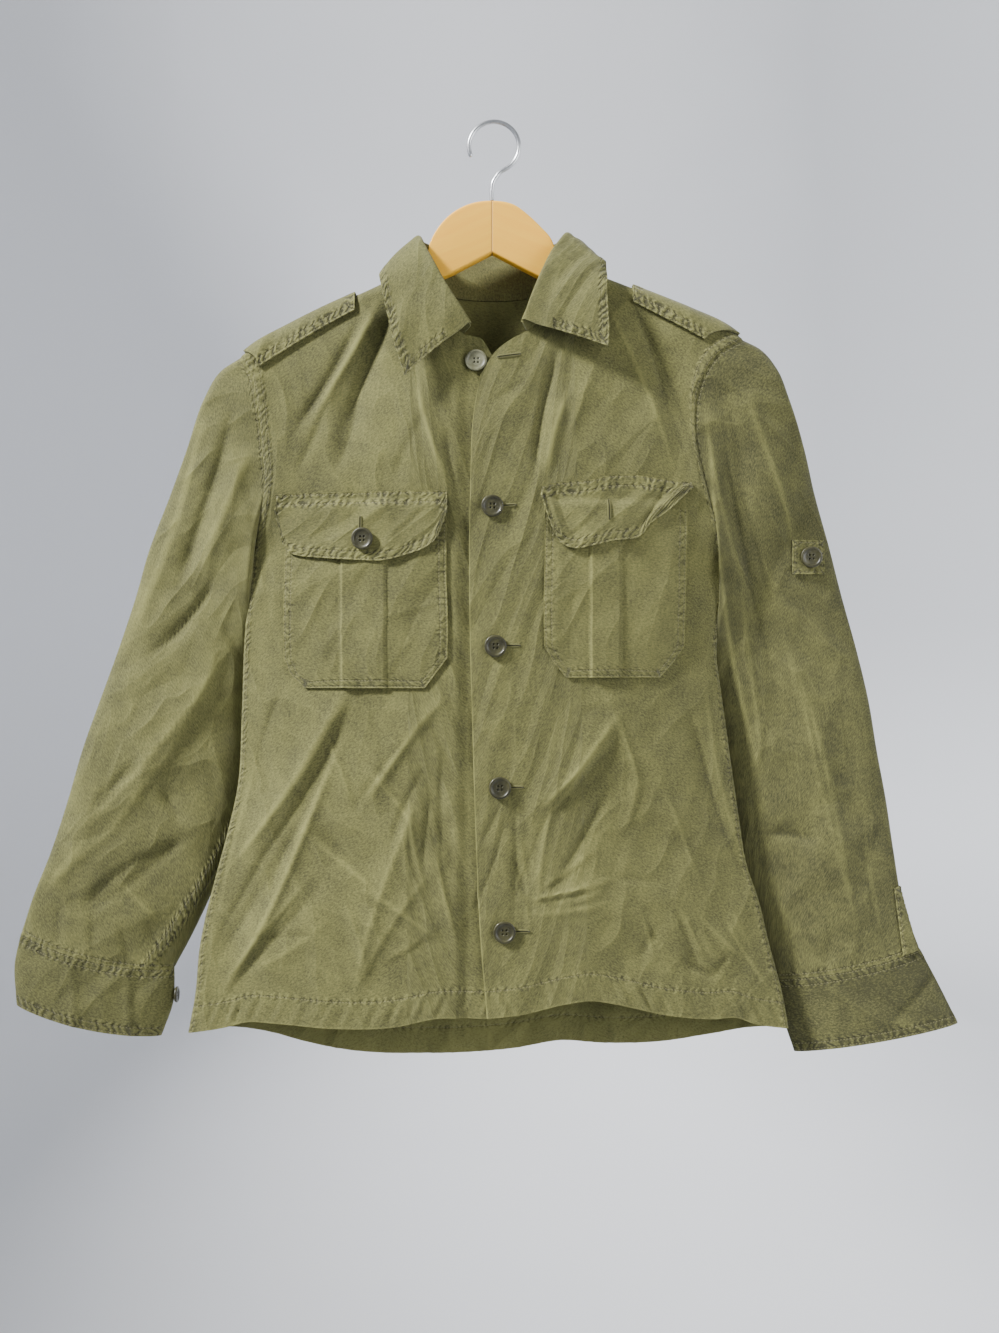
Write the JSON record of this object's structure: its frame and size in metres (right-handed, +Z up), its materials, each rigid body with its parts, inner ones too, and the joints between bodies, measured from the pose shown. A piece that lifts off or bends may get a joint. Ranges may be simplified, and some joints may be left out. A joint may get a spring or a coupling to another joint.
{
  "type": "long-sleeved military utility shirt on a wooden coat hanger",
  "caption": "Olive cotton utility shirt with chest pockets, flaps, shoulder straps and buttoned front, hanging on a wooden hanger.",
  "frame": {"origin": "inside top of the hanger's hook, where the rail holds it", "axes": "+X to the right as the front is seen, the front faces -Y, +Z up; left and right are as seen from the front"},
  "size_m": [0.838, 0.0847, 0.8293],
  "materials": {
    "cloth": "matte",
    "button": "satin",
    "wood": "satin",
    "steel": "satin"
  },
  "bodies": {
    "root": {"back": "cloth", "collar": "cloth", "cuff_left": "cloth", "cuff_right": "cloth", "flap_left": "cloth", "flap_right": "cloth", "front_left": "cloth", "front_right": "cloth", "pocket_left": "cloth", "pocket_right": "cloth", "sleeve_left": "cloth", "sleeve_patch": "cloth", "sleeve_right": "cloth", "strap_left": "cloth", "strap_right": "cloth", "button_top": "button", "button_front_2": "button", "button_front_3": "button", "button_front_4": "button", "button_front_5": "button", "button_pocket": "button", "button_sleeve": "button", "button_cuff_left": "button", "button_cuff_right": "button", "hanger_wood": "wood", "hanger_hook": "steel"}
  },
  "joints": []
}
